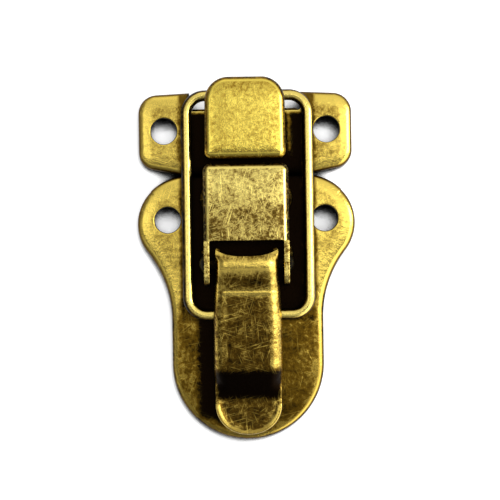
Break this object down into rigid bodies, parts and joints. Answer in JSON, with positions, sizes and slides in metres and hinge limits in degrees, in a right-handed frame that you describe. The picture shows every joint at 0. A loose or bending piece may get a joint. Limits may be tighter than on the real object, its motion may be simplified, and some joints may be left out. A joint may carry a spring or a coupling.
{
  "type": "chest draw latch",
  "caption": "Over-centre chest draw latch: hooked strike for the lid, shaped base plate with a bracketed duckbill lever and a wire bail that pulls the hook down.",
  "frame": {"origin": "middle of the closed latch's footprint, on the mounting plane", "axes": "+Y from the lever's tip towards the hook, +Z away from the chest, +X across"},
  "size_m": [0.0402, 0.0662, 0.0087],
  "materials": {
    "plate_brass": "antique brass plating with brown patina, satin",
    "cap_brass": "antique brass plating, tumbled and scratched",
    "lever_brass": "antique brass plating, scratched, worn bright at the edges",
    "wire_brass": "antique brass plating, bright drawn wire",
    "pin_brass": "antique brass plating, dark"
  },
  "bodies": {
    "mounted": {"base_plate": "plate_brass", "lever_bracket": "cap_brass", "lever_pin": "pin_brass", "strike_plate": "plate_brass", "strike_hook": "cap_brass"},
    "lever": {"lever": "lever_brass"},
    "bail": {"bail": "wire_brass"}
  },
  "joints": [
    {"name": "lever_turn", "type": "hinge", "parent": "mounted", "child": "lever", "pos_m": [0, -0.0006, 0.00571], "axis": [-1, 0, 0], "range_deg": [0, 110]},
    {"name": "bail_turn", "type": "hinge", "parent": "lever", "child": "bail", "pos_m": [0, -0.01, 0.00438], "axis": [-1, 0, 0], "range_deg": [-92, 0]}
  ],
  "couplings": [
    {"joint": "bail_turn", "follows": "lever_turn", "ratio": -0.83}
  ]
}
